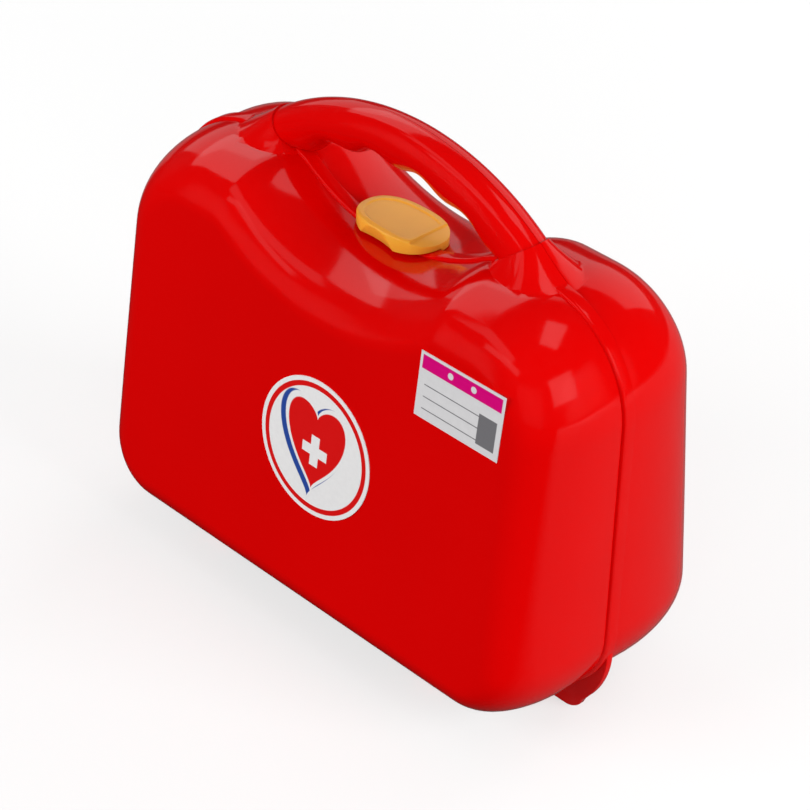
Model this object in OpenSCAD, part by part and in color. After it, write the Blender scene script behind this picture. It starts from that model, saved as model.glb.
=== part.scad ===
// Toy doctor case: two moulded half shells that hinge along the bottom, each with half of the hand grip,
// a slide catch in the dip under the grip, and two stickers on the front.
// X runs along the width, the front faces -Y, and the feet stand on z = 0. The shells are drawn with their
// parting plane at y = 0 and then moved so that the origin is in the middle of the whole depth.

/* [Shells] */
// Width of the shells at the bottom, without the rim bead
case_w = 260; // [250:1:300]
// How far each side leans in from bottom to top
side_lean = 7; // [4:0.5:9]
// Height of the shells from their underside to the shoulders
case_h = 180; // [172:1:200]
// Height of the underside above the surface that the case stands on
foot_h = 10.3; // [9:0.1:14]
// Depth of the front shell at the bottom
front_bottom = 58.5; // [52:0.5:70]
// Depth of the front shell at the shoulders
front_top = 43.5; // [40:0.5:60]
// Depth of the rear shell at the bottom
rear_bottom = 68; // [58:1:90]
// Depth of the rear shell at the shoulders
rear_top = 45.5; // [44:0.5:80]
// Wall thickness of both shells
wall = 2.2; // [1.6:0.1:2.8]
// Corner radius at the bottom
corner_r = 36; // [30:1:45]
// Corner radius at the top
shoulder_r = 46; // [38:1:52]
// How far the rolled edge reaches in over the front and rear faces
roll_in = 23; // [16:1:25]
// How deep the rolled edge is, at mid height
roll_deep = 44; // [30:1:46]
// Slope at which the underside falls from the parting plane toward the front and rear faces
sag = 0.1; // [0:0.01:0.14]
// Gap between the two shells at the parting plane
part_gap = 0.2; // [0.1:0.05:0.5]

/* [Dip under the grip] */
// Distance between the two crests beside the dip
dip_span = 126; // [120:1:132]
// Depth of the dip below the shoulders
dip_depth = 18.5; // [15:0.5:21]
// Radius of the crests where the shoulders turn into the dip
crest_r = 26; // [26:1:34]

/* [Rim] */
// Width of the raised bead on the front shell
bead_w = 6.5; // [5:0.5:8]
// Height of the bead above the side of the shell
bead_h = 1.4; // [0.8:0.1:2]
// How far the tongue of the front shell reaches into the rear one
tongue_l = 2.5; // [1.5:0.5:5]
// Thickness of the tongue
tongue_t = 1.2; // [0.8:0.1:1.6]
// Free space between the tongue and the rear shell's wall
tongue_gap = 0.3; // [0.2:0.05:0.6]

/* [Grip] */
// Diameter of the grip
grip_d = 20; // [18:1:24]
// Height of the top of the grip above the shoulders
grip_rise = 34.4; // [31:0.2:40]
// Radius of the arch along the middle of the grip
arch_r = 110; // [100:1:130]
// Radius of each grip root where it leaves the shoulder
root_r = 22; // [20:0.5:24]
// Distance of each grip root's foot from the middle of the case
root_x = 68; // [66:0.5:70]
// How hollow the flare of each root is, 0 for a straight cone
root_flare = 0.15; // [0:0.05:0.4]
// Step from the grip up to its root
root_step = 2.2; // [0.6:0.2:3]
// Distance of the cut on which the grip meets its root from the middle of the case
mitre_x = 62.5; // [58:0.5:66]
// Angle of that cut
mitre = 37; // [30:1:45]
// Height of the finger waves along the underside of the grip
finger_wave = 1.8; // [0:0.2:2.4]
// Distance from one finger wave to the next
finger_pitch = 28.2; // [22:0.2:32]

/* [Hinge] */
// Diameter of the hinge pins
pin_d = 3; // [2:0.5:3]
// Running clearance round a pin, on the radius
pin_fit = 0.05; // [0.02:0.01:0.1]
// Radius of the hinge barrels
barrel_r = 3.3; // [2.8:0.1:3.4]
// Height of the hinge axis above the surface
axis_h = 3.6; // [3.5:0.1:4]
// Length of each barrel on the front shell, behind its wing
wing_l = 20; // [16:1:24]
// Length of each barrel on the rear shell
ear_l = 14; // [10:1:20]
// Free space between a wing and its ear
ear_gap = 0.3; // [0.2:0.1:0.6]
// Thickness of the wings and webs that carry the barrels
web_t = 3.6; // [3:0.2:5]
// Radius of the wings' lower corners
wing_r = 9.2; // [6:0.2:10]
// How far a wing stands out from the shell's corner at its foot
wing_out = 9.5; // [6:0.5:11]
// Distance from the side of the case to the outer end of each barrel
hinge_in = 20; // [18:1:25]

/* [Feet] */
// Length of a foot along the width of the case
foot_l = 17; // [12:1:30]
// Width of a foot across the case
foot_w = 10; // [8:1:14]
// Distance of the feet from the middle of the case
foot_x = 65; // [45:1:68]
// Distance of the front feet from the parting plane
front_foot_y = 31; // [26:1:36]
// Distance of the rear feet from the parting plane
rear_foot_y = 42; // [35:1:46]

/* [Slide catch] */
// Length of the slide along the dip
slide_l = 42; // [40:1:46]
// Width of the slide across the parting plane
slide_w = 27; // [24:1:30]
// Height of the slide above the floor of the dip
slide_h = 8.5; // [7:0.5:11]
// How far the slide has been shifted toward the front
slide_y = 0; // [-1:0.5:1]
// Depth of the thumb dish in the slide
dish = 1.2; // [0.6:0.2:2]
// Length of the raised lip at the right end of the slide
lip_l = 7; // [5:0.5:9]
// Slope of the lip
lip_fall = 22; // [10:1:30]
// Depth of the finger scallop in the front of the slide, at its foot
scallop = 4.5; // [1:0.5:5]
// Travel of the slide
slide_travel = 9.5; // [9.3:0.1:10]
// Free space under the slide and round its stem
slide_gap = 0.3; // [0.2:0.05:0.5]
// Length of the stem that passes through the rear shell
stem_l = 15; // [12:1:16]
// How far the stem sits to the left of the slide's middle
stem_x = 4.5; // [3:0.5:6]
// Width of the stem
stem_w = 6; // [5.4:0.2:7]
// Thickness of the catch plate inside the case
plate_t = 2; // [1.5:0.5:3]
// Depth of the catch teeth on the plate
tooth_h = 2.4; // [1.8:0.2:3]
// Width of a catch tooth along the slide's travel
tooth_w = 7; // [5:0.5:8]
// Distance of each catch tooth from the middle of the slide
tooth_x = 9.5; // [9:0.5:11]
// Free space between the catch teeth and the roof of the front shell
tooth_gap = 0.9; // [0.7:0.1:1.2]
// Diameter of the screw that holds the catch plate
screw_d = 3; // [2.5:0.5:3.5]

/* [Stickers] */
// Diameter of the round sticker
round_d = 61.6; // [40:1:80]
// Place of the round sticker from the middle of the case
round_x = 7; // [-20:1:20]
// Height of the round sticker above the underside of the shells
round_z = 86; // [70:1:100]
// Width of the small label
label_w = 43.5; // [30:0.5:50]
// Height of the small label
label_h = 28.3; // [20:0.1:32]
// Distance of the label's middle from the right side of the case
label_in = 52; // [50:1:70]
// Height of the label's middle above the underside of the shells
label_z = 141.5; // [125:0.5:145]
// Thickness of the stickers
paper_t = 0.3; // [0.2:0.1:0.6]

/* [Hidden] */

RED = [0.84, 0.02, 0.02];
YELLOW = [0.90, 0.68, 0.20];
STEEL = [0.72, 0.72, 0.74];
PAPER = [0.92, 0.91, 0.91];
far = 400;
label_x = case_w / 2 - label_in;
hinge_x = case_w / 2 - hinge_in;

// Outline of the shells
lean = atan(side_lean / case_h);
crest_x = dip_span / 2;
crest_sum = (crest_x * crest_x + dip_depth * dip_depth) / (2 * dip_depth);
dip_r = crest_sum - crest_r;
dip_z = case_h - dip_depth + dip_r;
crest_turn = asin(crest_x / crest_sum);
top_fit = (case_w / 2 - side_lean - crest_x) / (1 / cos(lean) - tan(lean));
top_r = min(shoulder_r, top_fit);
mid_z = 0.47 * case_h;

function side_x(z) = case_w / 2 - z * tan(lean);
function centre_x(z, r) = side_x(z) - r / cos(lean);
function arc(c, r, a0, a1, n) = [for (i = [0:n]) let (a = a0 + (a1 - a0) * i / n) c + r * [cos(a), sin(a)]];

// Right half of the outline, drawn in by an inset, from the middle of the bottom to the middle of the dip
function half_outline(inset) = let (
    low = arc([centre_x(corner_r, corner_r), corner_r], corner_r - inset, -90, lean, 9),
    high = arc([centre_x(case_h - top_r, top_r), case_h - top_r], top_r - inset, lean, 90, 11),
    crest = arc([crest_x, case_h - crest_r], crest_r - inset, 90, 90 + crest_turn, 4),
    dip = arc([0, dip_z], dip_r + inset, crest_turn - 90, -90, 6)
) concat(
    [[0, inset]],
    low,
    [for (i = [1:3]) low[9] + (high[0] - low[9]) * i / 4],
    high,
    crest,
    [for (i = [1:6]) dip[i]]
);
function outline(inset) = let (h = half_outline(inset), n = len(h)) concat(
    h,
    [for (i = [n - 2:-1:1]) [-h[i].x, h[i].y]]
);

// A ring is [distance from the parting plane, share of the local depth, inset]
function deep(bottom, top, z) = bottom + (top - bottom) * z / case_h;
seam_y = (deep(front_bottom, front_top, roll_in) - deep(rear_bottom, rear_top, roll_in)) / 2;
module placed() {
    translate([0, seam_y, 0]) children();
}
function fall(y, z) = sag * abs(y) * exp(-pow(z / 58, 2));
function ring_point(p, y) = [p.x, y, foot_h + p.y - fall(y, p.y)];
function ring_points(ring, side, bottom, top) = [
    for (p = outline(ring[2])) ring_point(p, side * (ring[0] + ring[1] * deep(bottom, top, p.y)))
];
function roll_start(bottom, top) = 1 - roll_deep / ((bottom + top) / 2);
function roll_rings(skin, start, steps) = [
    for (i = [1:steps]) let (t = 90 * i / steps)
    [-skin * sin(t), start + (1 - start) * sin(t), skin + (roll_in - skin) * (1 - cos(t))]
];

// Closed solid over a list of loops, with a fan of faces from a point at each end
module closed(loops, ends, turned) {
    n = len(loops[0]);
    m = len(loops);
    walls = [
        for (k = [0:m - 2], i = [0:n - 1]) let (j = (i + 1) % n, a = k * n, b = a + n)
        each [[a + i, a + j, b + j], [a + i, b + j, b + i]]
    ];
    caps = [
        for (i = [0:n - 1]) let (j = (i + 1) % n, b = (m - 1) * n)
        each [[m * n, j, i], [m * n + 1, b + i, b + j]]
    ];
    faces = concat(walls, caps);
    polyhedron(
        concat([for (l = loops, p = l) p], ends),
        turned ? [for (f = faces) [f[2], f[1], f[0]]] : faces, convexity = 8
    );
}
module loft(rings, side, bottom, top) {
    last = rings[len(rings) - 1];
    closed(
        [for (r = rings) ring_points(r, side, bottom, top)],
        [for (r = [rings[0], last]) [0, side * (r[0] + r[1] * deep(bottom, top, mid_z)), foot_h + mid_z]],
        side < 0
    );
}

// Grip, drawn whole and then halved at the parting plane
grip_r = grip_d / 2;
apex_z = foot_h + case_h + grip_rise - grip_r;
arch_half = asin(mitre_x / arch_r);
mitre_z = apex_z - arch_r * (1 - cos(arch_half));
// Ring round the grip, so far turned from its middle, with the waves that the fingers lie in below
function grip_ring(turn, r) = let (
    wave = finger_wave * (cos(2 * arch_r * turn * PI / finger_pitch) - 0.3)
) [
    for (i = [0:19]) let (
        reach = r * sin(18 * i),
        out = arch_r + (reach < 0 ? reach * (r + wave) / r : reach)
    ) [out * sin(turn), r * cos(18 * i), apex_z - arch_r + out * cos(turn)]
];
module arch(r) {
    steps = 36;
    reach = arch_half + 2.5;
    ends = [for (e = [-1, 1]) [arch_r * sin(e * reach), 0, apex_z - arch_r + arch_r * cos(reach)]];
    closed([for (k = [0:steps]) grip_ring(reach * (2 * k / steps - 1), r)], ends, true);
}
// Height of the roof line of the shells over a place along the width
function roof(x) = let (edge = dip_r * sin(crest_turn), far_x = centre_x(case_h - top_r, top_r))
    x < edge ? dip_z - sqrt(dip_r * dip_r - x * x)
    : x < crest_x ? case_h - crest_r + sqrt(crest_r * crest_r - pow(crest_x - x, 2))
    : x < far_x ? case_h
    : case_h - top_r + sqrt(top_r * top_r - pow(x - far_x, 2));

// A grip root flares from the cut end of the grip down to the shoulder
function root_ring(t, skin) = let (
    r = skin > 0 ? grip_r - skin - finger_wave : grip_r + root_step,
    long = r / sin(mitre + arch_half),
    out = root_flare * (1 - cos(90 * t)) + (1 - root_flare) * t,
    down = root_flare * sin(90 * t) + (1 - root_flare) * t
) [
    for (i = [0:31]) let (
        c = cos(11.25 * i),
        s = sin(11.25 * i),
        foot_x = root_x + (root_r - skin) * c,
        foot_z = foot_h + roof(foot_x) - 1.2 - 5 * s * s - 2 * skin,
        top_x = mitre_x + long * c * cos(mitre),
        top_z = mitre_z + long * c * sin(mitre)
    ) [
        top_x + (foot_x - top_x) * out,
        r * s + ((root_r - skin) * s - r * s) * out,
        top_z + (foot_z - top_z) * down
    ]
];
module root(skin) {
    closed(
        [for (k = [0:7]) root_ring(k / 7, skin)],
        [[mitre_x, 0, mitre_z], [root_x, 0, foot_h + roof(root_x) - 4 - 2 * skin]],
        false
    );
}
module grip(skin) {
    arch(grip_r - skin);
    for (turn = [0, 1]) mirror([turn, 0, 0]) root(skin);
}
module half_space(side) {
    translate([-far / 2, side > 0 ? part_gap / 2 : -far - part_gap / 2, -far / 4]) cube([far, far, far]);
}

// A moulded foot, run up into the underside of its shell
module foot(y) {
    for (x = [-foot_x, foot_x]) translate([x, y, 0]) hull() for (e = [-1, 1]) {
        translate([e * (foot_l - foot_w) / 2, 0, 0]) cylinder(h = foot_h + 6, d = foot_w, $fn = 20);
    }
}

// One moulded shell with its half of the grip, kept as one mesh
module moulding(side, bottom, top, outer) {
    start = roll_start(bottom, top);
    inner = concat([[-2, 0, wall], [0, start, wall]], roll_rings(wall, start, 6));
    foot_y = side > 0 ? rear_foot_y : -front_foot_y;
    difference() {
        intersection() {
            union() {
                loft(outer, side, bottom, top);
                grip(0);
                foot(foot_y);
            }
            half_space(side);
        }
        loft(inner, side, bottom, top);
        grip(wall);
    }
}

// Tongue of the front shell, which locates it in the rear one, left out round the slide
module tongue() {
    in = wall + tongue_gap;
    difference() {
        loft(
            [[-tongue_l, 0, in], [part_gap, 0, in], [part_gap + 0.4, 0, wall - 0.6], [3, 0, wall - 0.6]],
            -1, front_bottom, front_top
        );
        loft([[-tongue_l - 1, 0, in + tongue_t], [4, 0, in + tongue_t]], -1, front_bottom, front_top);
        translate([-crest_x, -far / 2, foot_h + case_h - dip_depth - 20]) cube([2 * crest_x, far, far]);
    }
}

// Places along the dip are angles about its centre line, which is also the axis of the slide's travel
module about_dip() {
    translate([0, 0, foot_h + dip_z]) rotate([-90, 0, 0]) children();
}
function dip_turn(x) = asin(x / dip_r);

// Block that follows the dip: from radius r0 to r1, from depth y0 to y1, over an angle either side of the middle
module dip_block(r0, r1, y0, y1, a0, a1) {
    about_dip() rotate([0, 0, 90 - a1])
        rotate_extrude(angle = a1 - a0, $fn = 180) translate([r0, y0]) square([r1 - r0, y1 - y0]);
}

floor_r = dip_r;
under_r = dip_r + wall;
plate_top = under_r + tooth_h + tooth_gap;
stem_y = slide_y + slide_w / 2 - stem_w - 3.5;
screw_y = stem_y + stem_w / 2;
stem_a0 = dip_turn(-stem_x - stem_l / 2);
stem_a1 = dip_turn(-stem_x + stem_l / 2);
travel_a = dip_turn(slide_travel);
plate_r = under_r + tooth_gap;
tooth_a = dip_turn(tooth_x);
tooth_half = dip_turn(tooth_w / 2);
plate_a = tooth_a + tooth_half + 1;
keeper_y = -bead_w - 1;
keeper_t = 2;
keeper_half = tooth_half + 0.6;

// Slot in the rear shell for the stem, as long as the travel
module stem_slot() {
    gap_a = dip_turn(slide_gap);
    dip_block(
        floor_r - 4, under_r + 4, stem_y - slide_gap, stem_y + stem_w + slide_gap,
        stem_a0 - gap_a, stem_a1 + travel_a + gap_a
    );
}
// Keepers under the front shell's rim, which the catch teeth stand behind when the slide is home
module keepers() {
    for (side = [-1, 1]) dip_block(
        floor_r + 1, plate_top - slide_gap, keeper_y - keeper_t, keeper_y,
        side * tooth_a - keeper_half, side * tooth_a + keeper_half
    );
}

// Hinge parts on the right, mirrored for the left
wing_x = hinge_x - wing_l;
ear_x = wing_x - ear_gap - ear_l;
pin_tail = 2;

module barrel(x, l) {
    translate([x, 0, axis_h]) rotate([0, 90, 0]) cylinder(h = l, r = barrel_r, $fn = 48);
}
module pin_bore(x, l) {
    translate([x, 0, axis_h]) rotate([0, 90, 0]) cylinder(h = l, r = pin_d / 2 + pin_fit, $fn = 48);
}
// A wing stands below each bottom corner of the front shell and hides its barrel from the front
module wing() {
    c = [centre_x(corner_r, corner_r), foot_h + corner_r];
    low = axis_h - barrel_r;
    profile = concat(
        [[wing_x, low]],
        arc([hinge_x, low + wing_r], wing_r, -90, -36, 5),
        [for (i = [0:6]) let (a = -56 + 7 * i) c + (corner_r + bead_h + wing_out * (6 - i) / 6) * [cos(a), sin(a)]],
        arc(c, corner_r - 1, -14, -84, 8),
        [[wing_x, foot_h + 1]]
    );
    translate([0, -part_gap / 2, 0]) rotate([90, 0, 0]) linear_extrude(web_t) polygon(profile);
    barrel(wing_x, wing_l);
}
module ear() {
    barrel(ear_x, ear_l);
    translate([ear_x, part_gap / 2, axis_h]) cube([ear_l, web_t, foot_h - axis_h + 1]);
}

module front_shell() {
    start = roll_start(front_bottom, front_top);
    edge = part_gap / 2;
    outer = concat(
        [
            [edge, 0, -bead_h], [bead_w - 1.4, 0, -bead_h],
            [bead_w - 0.4, 0, -0.7 * bead_h], [bead_w, 0, 0]
        ],
        roll_rings(0, start, 7)
    );
    color(RED) placed() difference() {
        union() {
            resize([0, 0, 0]) union() {
                moulding(-1, front_bottom, front_top, outer);
                tongue();
                keepers();
            }
            for (turn = [0, 1]) mirror([turn, 0, 0]) wing();
        }
        for (turn = [0, 1]) mirror([turn, 0, 0]) pin_bore(wing_x - 1, wing_l - 2);
    }
}

module rear_shell() {
    start = roll_start(rear_bottom, rear_top);
    edge = part_gap / 2;
    outer = concat(
        [[edge, 0, 0.4], [edge + 0.6, 0, 0], [0, start, 0]],
        roll_rings(0, start, 7)
    );
    color(RED) placed() difference() {
        union() {
            resize([0, 0, 0]) difference() {
                moulding(1, rear_bottom, rear_top, outer);
                stem_slot();
            }
            for (turn = [0, 1]) mirror([turn, 0, 0]) ear();
        }
        for (turn = [0, 1]) mirror([turn, 0, 0]) pin_bore(ear_x - 1, ear_l + 2);
    }
}

// Plan of the slide: an oblong with rounded ends
function slide_plan(grow) = [
    for (i = [0:47]) let (a = 7.5 * i, c = cos(a), s = sin(a))
    [(slide_l / 2 + grow) * sign(c) * pow(abs(c), 0.8), (slide_w / 2 + grow) * sign(s) * pow(abs(s), 0.85)]
];

module slide_catch() {
    top = foot_h + case_h - dip_depth + slide_h;
    y0 = slide_y - slide_w / 2;
    y1 = slide_y + slide_w / 2;
    low_r = floor_r - slide_gap;
    bead_r = floor_r - bead_h - slide_gap;
    high_r = floor_r - slide_h - 12;
    lip_x = slide_l / 2 - lip_l;
    profile = [[high_r, y0], [bead_r, y0], [bead_r, 0.6], [low_r, 0.6], [low_r, y1], [high_r, y1]];
    color(YELLOW) placed() difference() {
        union() {
            difference() {
                intersection() {
                    about_dip() rotate([0, 0, 65]) rotate_extrude(angle = 50, $fn = 180) polygon(profile);
                    translate([0, slide_y, top - 30]) linear_extrude(30) polygon(slide_plan(0));
                }
                translate([0, slide_y, top - dish]) linear_extrude(far) intersection() {
                    polygon(slide_plan(-1.6));
                    translate([lip_x - far, -far / 2]) square([far, far]);
                }
                translate([lip_x + 1.6, -far / 2, top]) rotate([0, lip_fall, 0]) cube([far, far, far]);
                translate([1, y0 - 14, top - slide_h]) cylinder(h = slide_h, r1 = 14 + scallop, r2 = 14, $fn = 72);
            }
            dip_block(low_r - 2, plate_r, stem_y, stem_y + stem_w, stem_a0, stem_a1);
        }
        translate([-stem_x, screw_y, top - slide_h - wall - 4]) cylinder(h = 9, d = screw_d - 0.4, $fn = 32);
    }
}

// Plate inside the case that keeps the slide down and carries the catch teeth
module catch_plate() {
    front = keeper_y - keeper_t - 3.2;
    back = stem_y + stem_w + 2;
    color(YELLOW) placed() difference() {
        union() {
            dip_block(plate_top, plate_top + plate_t, front, back, -plate_a, plate_a);
            dip_block(plate_r + 0.05, plate_top + 1, stem_y - 1.5, back, stem_a0 - 1, stem_a1 + 1);
            for (side = [-1, 1]) dip_block(
                plate_r, plate_top + 1, front, front + 2.6,
                side * tooth_a - tooth_half, side * tooth_a + tooth_half
            );
        }
        translate([-stem_x, screw_y, foot_h + case_h - dip_depth - 15])
            cylinder(h = 20, d = screw_d + 0.4, $fn = 32);
    }
}

module catch_screw() {
    drop = plate_top + plate_t;
    under = foot_h + dip_z - sqrt(drop * drop - stem_x * stem_x);
    color(STEEL) placed() translate([-stem_x, screw_y, under - 2.2]) {
        cylinder(h = 1.8, d = 2 * screw_d, $fn = 32);
        cylinder(h = 2.2 + plate_t + tooth_h + tooth_gap + 4, d = screw_d - 0.5, $fn = 32);
    }
}

module hinge_pin(turn) {
    color(STEEL) placed() mirror([turn, 0, 0]) translate([ear_x - pin_tail, 0, axis_h]) rotate([0, 90, 0]) {
        cylinder(h = wing_l + ear_l + ear_gap + pin_tail - 4, d = pin_d, $fn = 48);
    }
}
module hinge_pin_left() {
    hinge_pin(1);
}
module hinge_pin_right() {
    hinge_pin(0);
}

// Places a flat piece on the sloping front face
face_tilt = atan((front_bottom - front_top) / case_h);
module on_face(x, z) {
    translate([x, -deep(front_bottom, front_top, z), foot_h + z]) rotate([90 + -face_tilt, 0, 0]) children();
}
module front_sticker() {
    color(PAPER) placed() on_face(round_x, round_z) cylinder(h = paper_t, d = round_d, $fn = 96);
}
module info_label() {
    color(PAPER) placed() on_face(label_x, label_z) translate([-label_w / 2, -label_h / 2, 0])
        cube([label_w, label_h, paper_t]);
}

front_shell();
rear_shell();
slide_catch();
catch_plate();
catch_screw();
hinge_pin_left();
hinge_pin_right();
front_sticker();
info_label();
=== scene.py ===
import logging
import math
from dataclasses import dataclass, field
from enum import Enum
from typing import Sequence

import bmesh
import bpy
from mathutils import Euler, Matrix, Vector


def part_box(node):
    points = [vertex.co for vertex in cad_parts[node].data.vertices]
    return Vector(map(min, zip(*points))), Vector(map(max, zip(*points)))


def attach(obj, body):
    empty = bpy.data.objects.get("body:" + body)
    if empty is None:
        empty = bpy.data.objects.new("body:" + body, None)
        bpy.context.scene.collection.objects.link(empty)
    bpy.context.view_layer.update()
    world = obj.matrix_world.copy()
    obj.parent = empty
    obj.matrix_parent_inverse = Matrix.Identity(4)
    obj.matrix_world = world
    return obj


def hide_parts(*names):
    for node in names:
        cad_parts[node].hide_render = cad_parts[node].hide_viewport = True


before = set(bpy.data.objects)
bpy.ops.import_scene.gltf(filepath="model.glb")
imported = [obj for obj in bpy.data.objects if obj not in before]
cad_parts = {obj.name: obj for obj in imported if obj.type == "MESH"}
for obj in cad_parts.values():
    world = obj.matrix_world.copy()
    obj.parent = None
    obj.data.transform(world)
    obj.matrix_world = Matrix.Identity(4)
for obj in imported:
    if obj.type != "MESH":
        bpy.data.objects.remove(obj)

LOG = logging.getLogger("toy_case")
MM = 0.001
PER_METRE = 1000.0
LIFT = 1e-4  # length of a fresh extrusion before its ring is set, in metres
MERGE = 1e-6  # distance under which two vertices are one, in metres
BEVEL_STEPS = 2
ROD_SIDES = 48
NOISE_SPAN = (0.3, 0.7)  # most of a noise lies between these
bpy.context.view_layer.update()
# Y of the plane on which the two halves part, in metres
SEAM = sum(c.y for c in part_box("hinge_pin_left")) / 2
Flat = tuple[float, float]
Point = tuple[float, float, float]
Colour = tuple[float, float, float]
Ring = list[Point]


# ---------------------------------------------------------------- modelling by operators


class Cut(Enum):
    """How one solid is worked against another."""

    JOIN = "UNION"
    CARVE = "DIFFERENCE"
    KEEP = "INTERSECT"


class Bench:
    """Small set of modelling moves made with Blender's own operators."""

    @staticmethod
    def clear() -> None:
        """Leaves edit mode and deselects everything."""
        if bpy.context.object and bpy.context.object.mode != "OBJECT":
            bpy.ops.object.mode_set(mode="OBJECT")
        bpy.ops.object.select_all(action="DESELECT")

    @staticmethod
    def pick(obj: bpy.types.Object) -> None:
        """Makes one object the only selected and active one."""
        Bench.clear()
        obj.select_set(True)
        bpy.context.view_layer.objects.active = obj

    @staticmethod
    def named(name: str) -> bpy.types.Object:
        """Names the object that was just added and returns it."""
        obj = bpy.context.object
        obj.name = name
        obj.data.name = name
        return obj

    @staticmethod
    def loft(name: str, rings: Sequence[Ring]) -> bpy.types.Object:
        """Extrudes a filled circle from ring to ring and sets each ring's points.

        Args:
            name: Name of the new object.
            rings: Closed rings with the same number of points, in millimetres from the seam.

        Returns:
            The closed solid through the rings.
        """
        count = len(rings[0])
        Bench.clear()
        bpy.ops.mesh.primitive_circle_add(vertices=count, radius=1.0, fill_type="NGON")
        obj = Bench.named(name)
        for vertex, point in zip(obj.data.vertices, rings[0]):
            vertex.co = placed(point)
        bpy.ops.object.mode_set(mode="EDIT")
        bpy.ops.mesh.select_mode(type="FACE")
        bpy.ops.mesh.select_all(action="SELECT")
        mesh = bmesh.from_edit_mesh(obj.data)
        mesh.verts.ensure_lookup_table()
        place = {mesh.verts[i].index: i for i in range(count)}
        lift = {"value": (0.0, 0.0, LIFT)}
        for ring in rings[1:]:
            bpy.ops.mesh.extrude_region_move(TRANSFORM_OT_translate=lift)
            mesh = bmesh.from_edit_mesh(obj.data)
            mesh.verts.index_update()
            fresh = [v for v in mesh.verts if v.select]
            new_place = {}
            for vertex in fresh:
                for edge in vertex.link_edges:
                    below = edge.other_vert(vertex)
                    if below.index in place and not below.select:
                        new_place[vertex.index] = place[below.index]
            for vertex in fresh:
                vertex.co = placed(ring[new_place[vertex.index]])
            place = new_place
        bmesh.update_edit_mesh(obj.data)
        Bench.face_out(obj)
        return obj

    @staticmethod
    def face_out(obj: bpy.types.Object) -> None:
        """Merges doubles and turns every face outward."""
        Bench.pick(obj)
        bpy.ops.object.mode_set(mode="EDIT")
        bpy.ops.mesh.select_all(action="SELECT")
        bpy.ops.mesh.remove_doubles(threshold=MERGE)
        bpy.ops.mesh.normals_make_consistent(inside=False)
        bpy.ops.object.mode_set(mode="OBJECT")

    @staticmethod
    def work(obj: bpy.types.Object, tool: bpy.types.Object, how: Cut) -> bpy.types.Object:
        """Works a solid against a tool solid, which is used up.

        Args:
            obj: Solid that is kept.
            tool: Solid that it is joined with, carved by or kept inside of.
            how: Which of the three.

        Returns:
            The kept solid.
        """
        Bench.pick(obj)
        step = obj.modifiers.new("work", "BOOLEAN")
        step.operation = how.value
        step.solver = "MANIFOLD"
        step.object = tool
        bpy.ops.object.modifier_apply(modifier=step.name)
        mesh = tool.data
        bpy.data.objects.remove(tool)
        bpy.data.meshes.remove(mesh)
        return obj

    @staticmethod
    def bevel(obj: bpy.types.Object, width: float, angle: float) -> None:
        """Rounds the sharp edges of a solid.

        Args:
            obj: The solid.
            width: Width of the rounding in millimetres.
            angle: Least angle of a rounded edge in degrees.
        """
        Bench.pick(obj)
        step = obj.modifiers.new("edge", "BEVEL")
        step.width = width * MM
        step.segments = BEVEL_STEPS
        step.limit_method = "ANGLE"
        step.angle_limit = math.radians(angle)
        step.harden_normals = False
        bpy.ops.object.modifier_apply(modifier=step.name)

    @staticmethod
    def halve(obj: bpy.types.Object, y: float, keep: int) -> None:
        """Keeps a solid on one side of a plane across Y; keep is the sign of that side."""
        half = Bench.slab("half", oblong(-300.0, 300.0, -100.0, 400.0), y, keep * 300.0)
        Bench.work(obj, half, Cut.KEEP)

    @staticmethod
    def slab(name: str, outline: Sequence[Flat], y0: float, y1: float) -> bpy.types.Object:
        """Makes a plate from an outline in X and Z, extruded from y0 to y1."""
        return Bench.loft(name, [[(x, y, z) for x, z in outline] for y in (y0, y1)])

    @staticmethod
    def rod(name: str, x0: float, x1: float, z: float, radius: float) -> bpy.types.Object:
        """Makes a round rod along X on the hinge axis."""
        return Bench.loft(name, [
            [(x, radius * math.cos(t), z + radius * math.sin(t)) for t in turns(ROD_SIDES)]
            for x in (x0, x1)
        ])

    @staticmethod
    def smooth(obj: bpy.types.Object, angle: float = 32.0) -> None:
        """Shades smooth, with edges over an angle kept sharp."""
        Bench.pick(obj)
        bpy.ops.object.shade_smooth_by_angle(angle=math.radians(angle))


def placed(point: Sequence[float]) -> Vector:
    """A point in millimetres from the seam as a place in the frame, in metres."""
    return Vector((point[0] * MM, point[1] * MM + SEAM, point[2] * MM))


def arc(
    cx: float, cz: float, radius: float, start: float, end: float, steps: int
) -> list[Flat]:
    """Points on an arc between two angles in degrees, both ends included."""
    swing = [math.radians(start + (end - start) * i / steps) for i in range(steps + 1)]
    return [(cx + radius * math.cos(t), cz + radius * math.sin(t)) for t in swing]


def turns(count: int) -> list[float]:
    """Angles round a full turn in equal steps."""
    return [math.tau * i / count for i in range(count)]


def oblong(x0: float, x1: float, z0: float, z1: float) -> list[Flat]:
    """Corners of an upright rectangle."""
    return [(x0, z0), (x1, z0), (x1, z1), (x0, z1)]


def away(turn: float, rise: float) -> Vector:
    """Direction from the case, by degrees to the right of its front and degrees of elevation."""
    a, e = math.radians(turn), math.radians(rise)
    return Vector((math.sin(a) * math.cos(e), -math.cos(a) * math.cos(e), math.sin(e)))


# ---------------------------------------------------------------- materials


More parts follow.
